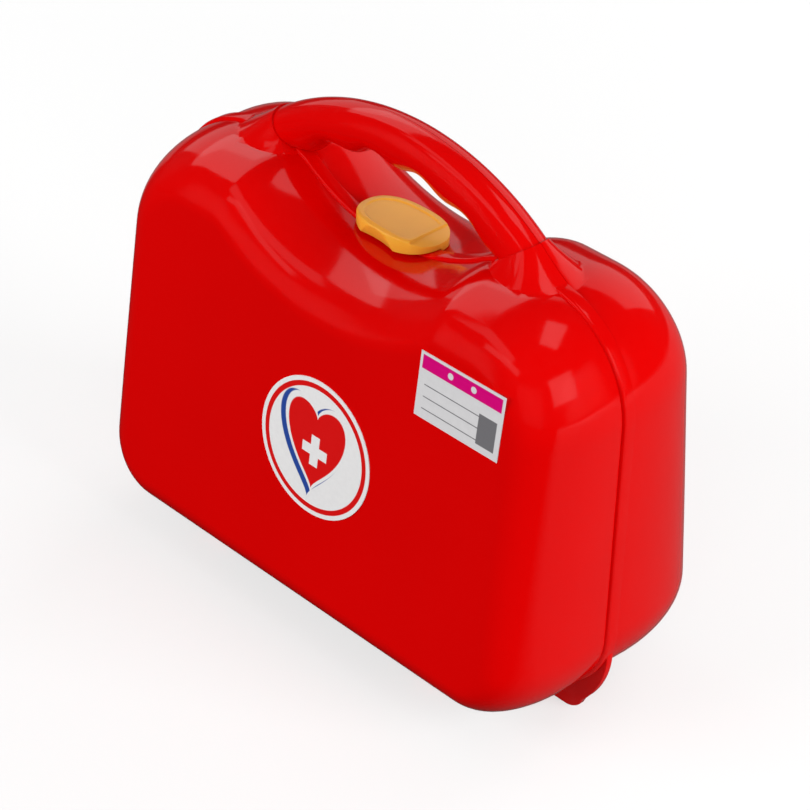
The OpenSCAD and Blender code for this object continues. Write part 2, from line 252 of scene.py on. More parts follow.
class Socket:
    """A shader value that can be added, scaled and compared as in plain arithmetic."""

    def __init__(self, paint: "Paint", link: bpy.types.NodeSocket) -> None:
        """Keeps the paint that owns the node and the node's output."""
        self.paint = paint
        self.link = link

    def _math(self, kind: str, *values: "Socket | float") -> "Socket":
        """Adds a Math node of one kind over some values."""
        return self.paint.node("ShaderNodeMath", {"operation": kind}, dict(enumerate(values)))

    def __add__(self, other: "Socket | float") -> "Socket":
        """Sum."""
        return self._math("ADD", self, other)

    __radd__ = __add__

    def __sub__(self, other: "Socket | float") -> "Socket":
        """Difference."""
        return self._math("SUBTRACT", self, other)

    def __rsub__(self, other: float) -> "Socket":
        """Difference from a number."""
        return self._math("SUBTRACT", other, self)

    def __mul__(self, other: "Socket | float") -> "Socket":
        """Product."""
        return self._math("MULTIPLY", self, other)

    __rmul__ = __mul__

    def __truediv__(self, other: "Socket | float") -> "Socket":
        """Quotient."""
        return self._math("DIVIDE", self, other)

    def __abs__(self) -> "Socket":
        """Distance from zero."""
        return self._math("ABSOLUTE", self)

    def __pow__(self, other: float) -> "Socket":
        """Power."""
        return self._math("POWER", self, other)

    def least(self, other: "Socket | float") -> "Socket":
        """The smaller of two."""
        return self._math("MINIMUM", self, other)

    def most(self, other: "Socket | float") -> "Socket":
        """The larger of two."""
        return self._math("MAXIMUM", self, other)

    def inside(self, soft: float) -> "Socket":
        """1 where the value is below zero and 0 above, over a soft edge."""
        return self.paint.node(
            "ShaderNodeMapRange", {"clamp": True}, {0: self, 1: -soft, 2: soft, 3: 1.0, 4: 0.0}
        )


class Paint:
    """A material under construction."""

    def __init__(self, name: str) -> None:
        """Starts an empty material with a surface shader and object coordinates."""
        self.material = bpy.data.materials.new(name)
        self.material.use_nodes = True
        self.tree = self.material.node_tree
        self.tree.nodes.clear()
        self.output = self.tree.nodes.new("ShaderNodeOutputMaterial")
        self.shader = self.tree.nodes.new("ShaderNodeBsdfPrincipled")
        self.tree.links.new(self.shader.outputs[0], self.output.inputs[0])
        self.place = self.node("ShaderNodeTexCoord", {}, {}, "Object")

    def node(
        self, kind: str, settings: dict[str, object], inputs: dict[int | str, object],
        out: int | str = 0,
    ) -> Socket:
        """Adds any node.

        Args:
            kind: Blender's name of the node type.
            settings: Attributes of the node, set before its sockets.
            inputs: Values or links of its sockets by index or name.
            out: Which output is wanted.

        Returns:
            The wanted output.
        """
        made = self.tree.nodes.new(kind)
        for key, value in settings.items():
            setattr(made, key, value)
        for key, value in inputs.items():
            if isinstance(value, Socket):
                self.tree.links.new(value.link, made.inputs[key])
            else:
                made.inputs[key].default_value = value
        return Socket(self, made.outputs[out])

    def set(self, **values: object) -> None:
        """Sets the shader's own sockets; underscores stand for spaces."""
        for key, value in values.items():
            socket = self.shader.inputs[key.replace("_", " ")]
            if isinstance(value, Socket):
                self.tree.links.new(value.link, socket)
            else:
                socket.default_value = value

    def axis(self, shift: Point = (0.0, 0.0, 0.0)) -> tuple[Socket, Socket, Socket]:
        """X, Y and Z of the place, in metres, after a shift of the origin."""
        moved = self.node(
            "ShaderNodeVectorMath", {"operation": "SUBTRACT"}, {0: self.place, 1: shift}
        )
        split = self.tree.nodes.new("ShaderNodeSeparateXYZ")
        self.tree.links.new(moved.link, split.inputs[0])
        return tuple(Socket(self, s) for s in split.outputs)

    def on_face(self, centre: Flat, tilt: float) -> tuple[Socket, Socket]:
        """Measures along a face that leans back.

        Args:
            centre: X and Z of its middle in millimetres.
            tilt: Its lean in radians.

        Returns:
            Distance to the right of its middle and up from it, in millimetres.
        """
        x, _, z = self.axis((centre[0] * MM, 0.0, centre[1] * MM))
        return x * PER_METRE, z * (PER_METRE / math.cos(tilt))

    def noise(self, scale: float, detail: float = 2.0) -> Socket:
        """Noise over the place."""
        inputs = {"Vector": self.place, "Scale": scale, "Detail": detail, "Roughness": 0.5}
        return self.node("ShaderNodeTexNoise", {}, inputs)

    def mix(self, mask: Socket, low: object, high: object) -> Socket:
        """Colour that goes from low to high by a mask."""
        return self.node(
            "ShaderNodeMix", {"data_type": "RGBA"}, {0: mask, 6: low, 7: high}, 2
        )

    def mottled(self, scale: float, detail: float, colour: Colour, dim: float) -> Socket:
        """Lets a colour wander between a dimmer shade and the full one.

        Args:
            scale: Scale of the noise that it follows.
            detail: Detail of that noise.
            colour: The full colour.
            dim: How much of it is left where it is dimmest.

        Returns:
            The colour.
        """
        mask = self.spread(self.noise(scale, detail), 0.0, 1.0)
        return self.mix(mask, (*(c * dim for c in colour), 1.0), (*colour, 1.0))

    def bump(self, height: Socket, depth: float) -> Socket:
        """Normal from a height, with its depth in millimetres."""
        inputs = {"Height": height, "Distance": depth * MM, "Strength": 1.0}
        return self.node("ShaderNodeBump", {}, inputs)

    def spread(self, value: Socket, low: float, high: float) -> Socket:
        """Noise as a number between two limits."""
        ends = {0: value, 1: NOISE_SPAN[0], 2: NOISE_SPAN[1], 3: low, 4: high}
        return self.node("ShaderNodeMapRange", {"clamp": True}, ends)


@dataclass(frozen=True)
class GlossPlastic:
    """Glossy moulded plastic, with a faint waviness and a fine grain."""

    name: str
    colour: Colour
    roughness: float = 0.1
    grain: float = 0.02

    def make(self) -> bpy.types.Material:
        """Builds the material."""
        paint = Paint(self.name)
        low, high = self.roughness - self.grain, self.roughness + self.grain
        paint.set(
            Base_Color=paint.mottled(9.0, 2.0, self.colour, 0.94),
            Roughness=paint.spread(paint.noise(260.0), low, high),
            Specular_IOR_Level=0.5,
            IOR=1.46,
            Normal=paint.bump(paint.noise(16.0, 1.0), 0.25),
        )
        return paint.material


@dataclass(frozen=True)
class SoftPlastic:
    """Satin moulded plastic that lets a little light in."""

    name: str
    colour: Colour

    def make(self) -> bpy.types.Material:
        """Builds the material."""
        paint = Paint(self.name)
        fine = paint.noise(1400.0, 3.0)
        paint.set(
            Base_Color=paint.mottled(60.0, 2.0, self.colour, 0.93),
            Roughness=paint.spread(fine, 0.3, 0.38),
            Subsurface_Weight=0.12,
            Subsurface_Radius=(0.004, 0.002, 0.0006),
            Subsurface_Scale=1.0,
            Coat_Weight=0.25,
            Coat_Roughness=0.12,
            Normal=paint.bump(fine, 0.01),
        )
        return paint.material


@dataclass(frozen=True)
class TurnedSteel:
    """Zinc-plated steel of pins and screws, with fine turning marks."""

    name: str = "zinc_steel"
    dull: Colour = (0.52, 0.52, 0.54)
    bright: Colour = (0.66, 0.66, 0.68)

    def make(self) -> bpy.types.Material:
        """Builds the material."""
        paint = Paint(self.name)
        marks = paint.noise(2500.0)
        stain = paint.spread(paint.noise(160.0, 3.0), 0.0, 1.0)
        paint.set(
            Base_Color=paint.mix(stain, (*self.dull, 1.0), (*self.bright, 1.0)),
            Metallic=1.0,
            Roughness=paint.spread(marks, 0.24, 0.4),
            Normal=paint.bump(marks, 0.01),
        )
        return paint.material


@dataclass(frozen=True)
class HeartSticker:
    """Round paper sticker: in a red ring, a red heart with a white plus over a blue heart."""

    centre: Flat
    tilt: float
    radius: float = 30.8
    name: str = "heart_sticker"
    white: Colour = (0.80, 0.79, 0.79)
    red: Colour = (0.66, 0.005, 0.005)
    blue: Colour = (0.02, 0.06, 0.30)
    ring_in: float = 3.1
    ring_half: float = 1.15
    shadow_size: float = 19.6
    shadow_shift: Flat = (1.8, 2.4)
    halo_size: float = 18.6
    heart_size: float = 16.6
    heart_low: float = 1.0
    plus_half: float = 2.3
    plus_reach: float = 7.0
    plus_low: float = 1.5
    soft: float = 0.12
    heart_soft: float = 0.02

    @staticmethod
    def heart(u: Socket, v: Socket, size: float) -> Socket:
        """Height field that is below zero inside a heart of a given half width, in millimetres."""
        x = abs(u) / size
        y = v / size
        curve = y - ((x + 0.0001) ** 0.62) * 0.78 + 0.12
        return x * x + curve * curve - 0.95

    def make(self) -> bpy.types.Material:
        """Builds the material."""
        paint = Paint(self.name)
        u, v = paint.on_face(self.centre, self.tilt)
        far = (u * u + v * v) ** 0.5
        ring = (abs(far - (self.radius - self.ring_in)) - self.ring_half).inside(self.soft)
        left, down = self.shadow_shift
        shadow = self.heart(u + left, v + down, self.shadow_size).inside(self.heart_soft)
        halo = self.heart(u, v + self.heart_low, self.halo_size).inside(self.heart_soft)
        heart = self.heart(u, v + self.heart_low, self.heart_size).inside(self.heart_soft)
        wide, tall = abs(u), abs(v + self.plus_low)
        upright = (wide - self.plus_half).most(tall - self.plus_reach)
        level = (tall - self.plus_half).most(wide - self.plus_reach)
        plus = upright.least(level).inside(self.soft)
        base = paint.mottled(500.0, 3.0, self.white, 0.96)
        red, blue = (*self.red, 1.0), (*self.blue, 1.0)
        colour = base
        for mask, shade in ((ring, red), (shadow, blue), (halo, base), (heart, red), (plus, base)):
            colour = paint.mix(mask, colour, shade)
        paint.set(
            Base_Color=colour,
            Roughness=paint.spread(paint.noise(300.0), 0.3, 0.4),
            Coat_Weight=0.3,
            Coat_Roughness=0.1,
            Normal=paint.bump(paint.noise(120.0), 0.03),
        )
        return paint.material


@dataclass(frozen=True)
class WriteOnLabel:
    """Plain write-on label: a magenta band with two dots, ruled lines and a grey field."""

    centre: Flat
    tilt: float
    width: float = 43.5
    height: float = 28.3
    name: str = "write_on_label"
    paper: Colour = (0.66, 0.65, 0.66)
    band: Colour = (0.62, 0.0, 0.17)
    ink: Colour = (0.16, 0.155, 0.165)
    band_down: float = 4.2
    band_half: float = 3.0
    band_in: float = 1.2
    dot_x: float = 6.0
    dot_r: float = 1.4
    lines_low: float = 4.6
    line_pitch: float = 2.6
    line_half: float = 0.22
    line_in: float = 3.4
    box_in: float = 7.0
    box_half: Flat = (4.6, 6.6)
    soft: float = 0.08
    line_soft: float = 0.06

    def make(self) -> bpy.types.Material:
        """Builds the material."""
        paint = Paint(self.name)
        u, v = paint.on_face(self.centre, self.tilt)
        side, pitch = self.width / 2, self.line_pitch
        from_band = v - (self.height / 2 - self.band_down)
        from_lines = abs(v + self.lines_low)
        band = (abs(from_band) - self.band_half).most(abs(u) - (side - self.band_in))
        dots = (abs(abs(u) - self.dot_x) ** 2.0 + from_band ** 2.0) ** 0.5 - self.dot_r
        lines = abs(abs(from_lines - pitch) - pitch) - self.line_half
        lines = lines.most(abs(u) - (side - self.line_in)).inside(self.line_soft)
        beside = abs(u - (side - self.box_in)) - self.box_half[0]
        box = (from_lines - self.box_half[1]).most(beside).inside(self.soft)
        base = paint.mottled(400.0, 3.0, self.paper, 0.96)
        colour = paint.mix(lines, base, (*self.ink, 1.0))
        colour = paint.mix(box, colour, (*self.ink, 1.0))
        colour = paint.mix(band.inside(self.soft), colour, (*self.band, 1.0))
        colour = paint.mix(dots.inside(self.soft), colour, base)
        paint.set(
            Base_Color=colour,
            Roughness=paint.spread(paint.noise(300.0), 0.34, 0.44),
            Coat_Weight=0.2,
            Coat_Roughness=0.12,
            Normal=paint.bump(paint.noise(90.0), 0.03),
        )
        return paint.material


# ---------------------------------------------------------------- the case's outline


@dataclass
class Outline:
    """Outline of the shells seen from the front, with the dip. Sizes in millimetres."""

    width: float = 260.0
    lean_in: float = 7.0
    height: float = 180.0
    foot_h: float = 10.3
    corner_r: float = 36.0
    shoulder_r: float = 46.0
    dip_span: float = 126.0
    dip_depth: float = 18.5
    crest_r: float = 26.0
    sag: float = 0.1
    sag_z: float = 58.0
    straight_steps: int = 8

    def __post_init__(self) -> None:
        """Works out the arcs of the dip and the lean of the sides."""
        self.lean = math.degrees(math.atan(self.lean_in / self.height))
        self.crest_x = self.dip_span / 2
        total = (self.crest_x ** 2 + self.dip_depth ** 2) / (2 * self.dip_depth)
        self.dip_r = total - self.crest_r
        self.dip_z = self.height - self.dip_depth + self.dip_r
        self.crest_turn = math.degrees(math.asin(self.crest_x / total))
        self.far_x = self.centre_x(self.height - self.shoulder_r, self.shoulder_r)

    def centre_x(self, z: float, radius: float) -> float:
        """Distance of a corner's centre from the middle."""
        slope = math.tan(math.radians(self.lean))
        return self.width / 2 - z * slope - radius / math.cos(math.radians(self.lean))

    @property
    def dip_floor(self) -> float:
        """Height over the ground of the dip's lowest place."""
        return self.foot_h + self.height - self.dip_depth

    def points(self, inset: float) -> list[Flat]:
        """Draws the whole outline.

        Args:
            inset: How far it is drawn in.

        Returns:
            Places in X and Z, from the middle of the bottom round by the right.
        """
        r, n = self.corner_r, self.straight_steps
        low = arc(self.centre_x(r, r), r, r - inset, -90, self.lean, 18)
        r = self.shoulder_r
        high = arc(self.far_x, self.height - r, r - inset, self.lean, 90, 24)
        r, end = self.crest_r, 90 + self.crest_turn
        crest = arc(self.crest_x, self.height - r, r - inset, 90, end, 10)
        dip = arc(0.0, self.dip_z, self.dip_r + inset, self.crest_turn - 90, -90, 16)
        (x0, z0), (x1, z1) = low[-1], high[0]
        side = [(x0 + (x1 - x0) * i / n, z0 + (z1 - z0) * i / n) for i in range(1, n)]
        base = [(low[0][0] * i / n, low[0][1]) for i in range(n)]
        half = base + low + side + high + crest + dip[1:]
        return half + [(-x, z) for x, z in reversed(half[1:-1])]

    def roof(self, x: float) -> float:
        """Finds the outline's upper line.

        Args:
            x: Place along the width.

        Returns:
            Its height there, in the outline's own measure.
        """
        x = abs(x)
        if x < self.dip_r * math.sin(math.radians(self.crest_turn)):
            return self.dip_z - math.sqrt(self.dip_r ** 2 - x * x)
        if x < self.crest_x:
            rise = math.sqrt(self.crest_r ** 2 - (self.crest_x - x) ** 2)
            return self.height - self.crest_r + rise
        if x < self.far_x:
            return self.height
        reach = max(self.shoulder_r ** 2 - (x - self.far_x) ** 2, 0.0)
        return self.height - self.shoulder_r + math.sqrt(reach)

    def placed_z(self, y: float, z: float) -> float:
        """Height over the ground of a point of the outline at a distance from the seam."""
        return self.foot_h + z - self.sag * abs(y) * math.exp(-((z / self.sag_z) ** 2))


# ---------------------------------------------------------------- shells


@dataclass
class Shell:
    """One half of the case: a hollow moulding with half of the grip. Sizes in millimetres."""

    name: str
    node: str
    body: str
    side: int
    bottom: float
    top: float
    outline: Outline
    grip: "Grip"
    rim: Sequence[Flat]
    foot_y: float
    foot_x: float = 65.0
    wall: float = 2.2
    roll_in: float = 23.0
    roll_deep: float = 44.0
    seam_gap: float = 0.1
    roll_steps: int = 22
    hollow_steps: int = 10
    panel_middle: float = 0.46
    panel_shares: Sequence[float] = (0.985, 0.9, 0.7, 0.5, 0.3, 0.1)
    axis_h: float = 3.6
    barrel_r: float = 3.3
    web_t: float = 3.6
    obj: bpy.types.Object | None = field(init=False, default=None)

    def deep(self, z: float) -> float:
        """Depth of the shell at a height of its outline."""
        return self.bottom + (self.top - self.bottom) * z / self.outline.height

    @property
    def start(self) -> float:
        """Share of the depth at which the rolled edge begins."""
        return 1 - self.roll_deep / ((self.bottom + self.top) / 2)

    def ring(self, offset: float, share: float, inset: float) -> Ring:
        """One ring at an offset plus a share of the local depth, drawn in by an inset."""
        made = []
        for x, z in self.outline.points(inset):
            y = self.side * (offset + share * self.deep(z))
            made.append((x, y, self.outline.placed_z(y, z)))
        return made

    def roll(self, skin: float, steps: int) -> list[Ring]:
        """Rings of the rolled edge, a skin below the outside."""
        made = []
        for i in range(1, steps + 1):
            t = math.radians(90 * i / steps)
            share = self.start + (1 - self.start) * math.sin(t)
            inset = skin + (self.roll_in - skin) * (1 - math.cos(t))
            made.append(self.ring(-skin * math.sin(t), share, inset))
        return made

    def panel(self, offset: float) -> list[Ring]:
        """Rings that close the flat face, each nearer its middle."""
        made = []
        middle = self.panel_middle * self.outline.height
        for share in self.panel_shares:
            ring = []
            for x, z in self.outline.points(self.roll_in):
                x, z = x * share, middle + (z - middle) * share
                y = self.side * (offset + self.deep(z))
                ring.append((x, y, self.outline.placed_z(y, z)))
            made.append(ring)
        return made

    def build(self) -> bpy.types.Object:
        """Models the hollow shell with its half of the grip and its feet."""
        outer = [self.ring(-1.5, 0.0, self.rim[0][1])]
        outer += [self.ring(y, 0.0, inset) for y, inset in self.rim]
        outer += self.roll(0.0, self.roll_steps) + self.panel(0.0)
        solid = Bench.loft(self.name, outer)
        for part in self.grip.solids(0.0):
            Bench.work(solid, part, Cut.JOIN)
        for x in (-self.foot_x, self.foot_x):
            Bench.work(solid, self.foot(x), Cut.JOIN)
        inner = [self.ring(-4.0, 0.0, self.wall), self.ring(0.0, self.start, self.wall)]
        inner += self.roll(self.wall, self.hollow_steps) + self.panel(-self.wall)
        Bench.work(solid, Bench.loft("hollow", inner), Cut.CARVE)
        for part in self.grip.solids(self.wall):
            Bench.work(solid, part, Cut.CARVE)
        Bench.halve(solid, self.side * self.seam_gap, self.side)
        self.obj = solid
        return solid

    def foot(self, x: float, length: float = 17.0, width: float = 10.0) -> bpy.types.Object:
        """Models one moulded foot with a rounded lower edge.

        Args:
            x: Its place along the width.
            length: Its length along the width.
            width: Its width.

        Returns:
            The foot as a solid.
        """
        plan = []
        for end, (a, b) in ((1, (-90, 90)), (-1, (90, 270))):
            plan += [(end, *p) for p in arc(0.0, 0.0, 1.0, a, b, 10)]
        reach, y = (length - width) / 2, self.side * self.foot_y
        rings = []
        for z, inset in ((0.0, 1.2), (0.35, 0.4), (1.2, 0.0), (self.outline.foot_h + 6, 0.0)):
            r = width / 2 - inset
            rings.append([(x + end * reach + r * cx, y + r * cy, z) for end, cx, cy in plan])
        return Bench.loft("foot", rings)

    def finish(self, material: bpy.types.Material) -> None:
        """Dresses the shell and hands it to its body."""
        obj = self.obj
        Bench.smooth(obj)
        obj.data.materials.clear()
        obj.data.materials.append(material)
        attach(obj, self.body)
        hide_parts(self.node)
        LOG.info("%s: %d faces", self.name, len(obj.data.polygons))


@dataclass
class Grip:
    """The arched hand grip and its two roots. Sizes in millimetres."""

    outline: Outline
    diameter: float = 20.0
    rise: float = 34.4
    arch_r: float = 110.0
    mitre_x: float = 62.5
    mitre: float = 37.0
    root_x: float = 70.5
    root_r: float = 24.0
    root_flare: float = 0.15
    root_square: float = 0.78
    root_step: float = 0.7
    wave: float = 1.8
    wave_pitch: float = 28.2
    wave_mean: float = 0.3
    sunk: float = 1.2
    droop: float = 5.0
    sides: int = 48
    arch_steps: int = 90
    root_sides: int = 64
    root_steps: int = 14

    def __post_init__(self) -> None:
        """Works out the arch's highest point and where it meets its roots."""
        self.apex = self.outline.foot_h + self.outline.height + self.rise - self.diameter / 2
        self.half = math.asin(self.mitre_x / self.arch_r)
        self.mitre_z = self.apex - self.arch_r * (1 - math.cos(self.half))

    def arch(self, skin: float) -> bpy.types.Object:
        """The arched tube, with finger waves along its underside."""
        end = self.half + math.radians(3.0)
        radius = self.diameter / 2 - skin
        rings = []
        for k in range(self.arch_steps + 1):
            turn = -end + 2 * end * k / self.arch_steps
            along = self.arch_r * turn
            ring = []
            for t in turns(self.sides):
                reach = radius * math.sin(t)
                if reach < 0:
                    crest = math.cos(math.tau * along / self.wave_pitch) - self.wave_mean
                    reach *= (radius + self.wave * crest) / radius
                out = self.arch_r + reach
                z = self.apex - self.arch_r + out * math.cos(turn)
                ring.append((out * math.sin(turn), radius * math.cos(t), z))
            rings.append(ring)
        return Bench.loft("arch", rings)

    def root(self, skin: float, side: int) -> bpy.types.Object:
        """Models one root, which flares from the end of the grip down to the shoulder.

        Args:
            skin: How far below its outside.
            side: 1 for the right root and -1 for the left one.

        Returns:
            The root as a solid.
        """
        radius = self.diameter / 2 + (self.root_step if skin == 0 else -skin - self.wave)
        long = radius / math.sin(math.radians(self.mitre) + self.half)
        tilt = math.radians(self.mitre)
        rings = []
        for k in range(self.root_steps + 1):
            t = k / self.root_steps
            quarter = math.radians(90 * t)
            out = self.root_flare * (1 - math.cos(quarter)) + (1 - self.root_flare) * t
            down = self.root_flare * math.sin(quarter) + (1 - self.root_flare) * t
            ring = []
            for turn in turns(self.root_sides):
                c, s = math.cos(turn), math.sin(turn)
                wide, far = (math.copysign(abs(v) ** self.root_square, v) for v in (c, s))
                foot_x = self.root_x + (self.root_r - skin) * wide
                roof = self.outline.foot_h + self.outline.roof(foot_x)
                foot_z = roof - self.sunk - self.droop * far * far - 2 * skin
                top_x = self.mitre_x + long * c * math.cos(tilt)
                top_z = self.mitre_z + long * c * math.sin(tilt)
                ring.append((
                    side * (top_x + (foot_x - top_x) * out),
                    radius * s + ((self.root_r - skin) * far - radius * s) * out,
                    top_z + (foot_z - top_z) * down,
                ))
            rings.append(ring)
        return Bench.loft("root", rings)

    def solids(self, skin: float) -> list[bpy.types.Object]:
        """The arch and both roots as separate solids."""
        return [self.arch(skin), self.root(skin, 1), self.root(skin, -1)]


@dataclass
class FrontShell(Shell):
    """The lid half, with the rim bead, the tongue and the two hinge wings."""

    bead_h: float = 1.4
    wing_l: float = 20.0
    wing_r: float = 9.2
    wing_out: float = 9.5
    wing_edge: float = 0.6
    wing_steps: int = 12
    hinge_x: float = 110.0
    tongue_gap: float = 0.3
    tongue_t: float = 1.2
    tongue_root: float = 0.6

    def wing(self, side: int) -> bpy.types.Object:
        """Models one wing below a bottom corner, with rounded edges.

        Args:
            side: 1 for the right wing and -1 for the left one.

        Returns:
            The wing as a solid.
        """
        line, r, n = self.outline, self.outline.corner_r, self.wing_steps
        cx, cz = line.centre_x(r, r), line.foot_h + r
        low = self.axis_h - self.barrel_r
        profile = [(self.hinge_x - self.wing_l, low)]
        profile += arc(self.hinge_x, low + self.wing_r, self.wing_r, -90, -36, n)
        for i in range(n + 1):
            turn = math.radians(-56 + 3.5 * i)
            out = r + self.bead_h + self.wing_out * (n - i) / n
            profile.append((cx + out * math.cos(turn), cz + out * math.sin(turn)))
        profile += arc(cx, cz, r - 1, -14, -84, 14)
        profile.append((self.hinge_x - self.wing_l, line.foot_h + 1))
        plan = [(side * x, z) for x, z in profile]
        slab = Bench.slab("wing", plan, -self.seam_gap, -self.web_t - self.seam_gap)
        Bench.bevel(slab, self.wing_edge, 50)
        return slab

    def tongue(self) -> bpy.types.Object:
        """The thin wall that locates the front shell in the rear one, left out round the slide."""
        gap, root = self.wall + self.tongue_gap, self.wall - self.tongue_root
        levels = ((-2.5, gap), (0.2, gap), (0.6, root), (3.0, root))
        band = Bench.loft("tongue", [self.ring(y, 0.0, inset) for y, inset in levels])
        core = Bench.loft("core", [self.ring(y, 0.0, gap + self.tongue_t) for y in (-3.5, 4.0)])
        Bench.work(band, core, Cut.CARVE)
        span, low = self.outline.crest_x, self.outline.dip_floor - 20
        block = Bench.slab("block", oblong(-span, span, low, 260), -20, 20)
        return Bench.work(band, block, Cut.CARVE)

    def build(self) -> bpy.types.Object:
        """Models the lid half with all that is moulded on it."""
        solid = super().build()
        Bench.work(solid, self.tongue(), Cut.JOIN)
        for side in (-1, 1):
            Bench.work(solid, self.wing(side), Cut.JOIN)
            ends = sorted((side * (self.hinge_x - self.wing_l), side * self.hinge_x))
            Bench.work(solid, Bench.rod("barrel", *ends, self.axis_h, self.barrel_r), Cut.JOIN)
        return solid


@dataclass
class RearShell(Shell):
    """The back half, with the hinge ears."""

    ear_l: float = 14.0
    ear_x: float = 75.7

    def build(self) -> bpy.types.Object:
        """Models the back half with all that is moulded on it."""
        solid = super().build()
        for side in (-1, 1):
            x0, x1 = sorted((side * self.ear_x, side * (self.ear_x + self.ear_l)))
            plan = oblong(x0, x1, self.axis_h, self.outline.foot_h + 1)
            web = Bench.slab("web", plan, self.seam_gap, self.web_t + self.seam_gap)
            Bench.work(solid, web, Cut.JOIN)
            Bench.work(solid, Bench.rod("barrel", x0, x1, self.axis_h, self.barrel_r), Cut.JOIN)
        return solid


# ---------------------------------------------------------------- slide catch


@dataclass
class SlideCatch:
    """The yellow slide in the dip. Sizes in millimetres."""

    outline: Outline
    length: float = 42.0
    width: float = 27.0
    height: float = 8.5
    dish: float = 0.5
    lip: float = 8.0
    lip_step: float = 0.9
    lip_fall: float = 9.0
    scallop: float = 3.4
    scallop_r: float = 30.5
    scallop_x: float = -3.7
    gap: float = 0.3
    bead_h: float = 1.4
    bead_end: float = 0.6
    edge: float = 0.35
    sides: int = 96
    scallop_sides: int = 144
    obj: bpy.types.Object | None = field(init=False, default=None)

    def plan(self, grow: float, z: float) -> Ring:
        """Draws the slide's plan, an oblong with rounded ends.

        Args:
            grow: How far it is drawn out.
            z: Its height.

        Returns:
            The plan's places.
        """
        made = []
        for t in turns(self.sides):
            c, s = math.cos(t), math.sin(t)
            made.append((
                (self.length / 2 + grow) * math.copysign(abs(c) ** 0.8, c),
                (self.width / 2 + grow) * math.copysign(abs(s) ** 0.85, s),
                z,
            ))
        return made

    def build(self) -> bpy.types.Object:
        """Models the slide with its thumb dish, step, lip and scalloped front."""
        top = self.outline.dip_floor + self.height
        levels = ((0.0, -16), (0.0, -1.0), (-0.3, -0.3), (-1.0, 0.0))
        block = Bench.loft("slide_catch_shape", [self.plan(g, top + up) for g, up in levels])
        edge = self.length / 2 - self.lip
        levels = ((-3.4, -self.dish), (-2.6, 0.1), (-2.6, 4))
        dish = Bench.loft("dish", [self.plan(g, top + up) for g, up in levels])
        wall = Bench.slab("wall", oblong(-60, edge - 0.6, top - 20, top + 20), -40, 40)
        Bench.work(dish, wall, Cut.KEEP)
        Bench.work(block, dish, Cut.CARVE)
        drop = math.tan(math.radians(self.lip_fall))
        low, end = top - self.lip_step, edge + 41.3
        step = [(edge + 0.5, top + 1), (edge + 1.3, low), (end, low - 40 * drop), (end, top + 20)]
        Bench.work(block, Bench.slab("step", step, -40, 40), Cut.CARVE)
        deep = self.scallop_r - self.scallop
        y0 = -self.width / 2 - deep
        foot, r0, around = top - self.height, self.scallop_r, turns(self.scallop_sides)
        cone = Bench.loft("cone", [
            [(self.scallop_x + r * math.cos(t), y0 + r * math.sin(t), z) for t in around]
            for r, z in ((r0 + 1.2, foot - 3), (r0, foot), (deep, top))
        ])
        Bench.work(block, cone, Cut.CARVE)
        axis_z = self.outline.foot_h + self.outline.dip_z
        for start, end, lift in ((-40.0, self.bead_end, self.bead_h), (self.bead_end, 40.0, 0.0)):
            radius = self.outline.dip_r - self.gap - lift
            bowl = [(-40.0, 140.0), (40.0, 140.0)] + arc(0.0, axis_z, radius, -66, -114, 48)
            Bench.work(block, Bench.slab("bowl", bowl, start, end), Cut.CARVE)
        self.obj = block
        return block

    def finish(self, material: bpy.types.Material) -> None:
        """Rounds and dresses the slide and hands it to its body."""
        Bench.bevel(self.obj, self.edge, 40)
        Bench.smooth(self.obj, 28)
        self.obj.data.materials.clear()
        self.obj.data.materials.append(material)
        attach(self.obj, "catch")
        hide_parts("slide_catch")
        LOG.info("slide: %d faces", len(self.obj.data.polygons))


# ---------------------------------------------------------------- studio


class Reach(Enum):
    """What a lamp does: light the case or show in its gloss."""

    LIGHT = "light"
    GLOSS = "gloss"


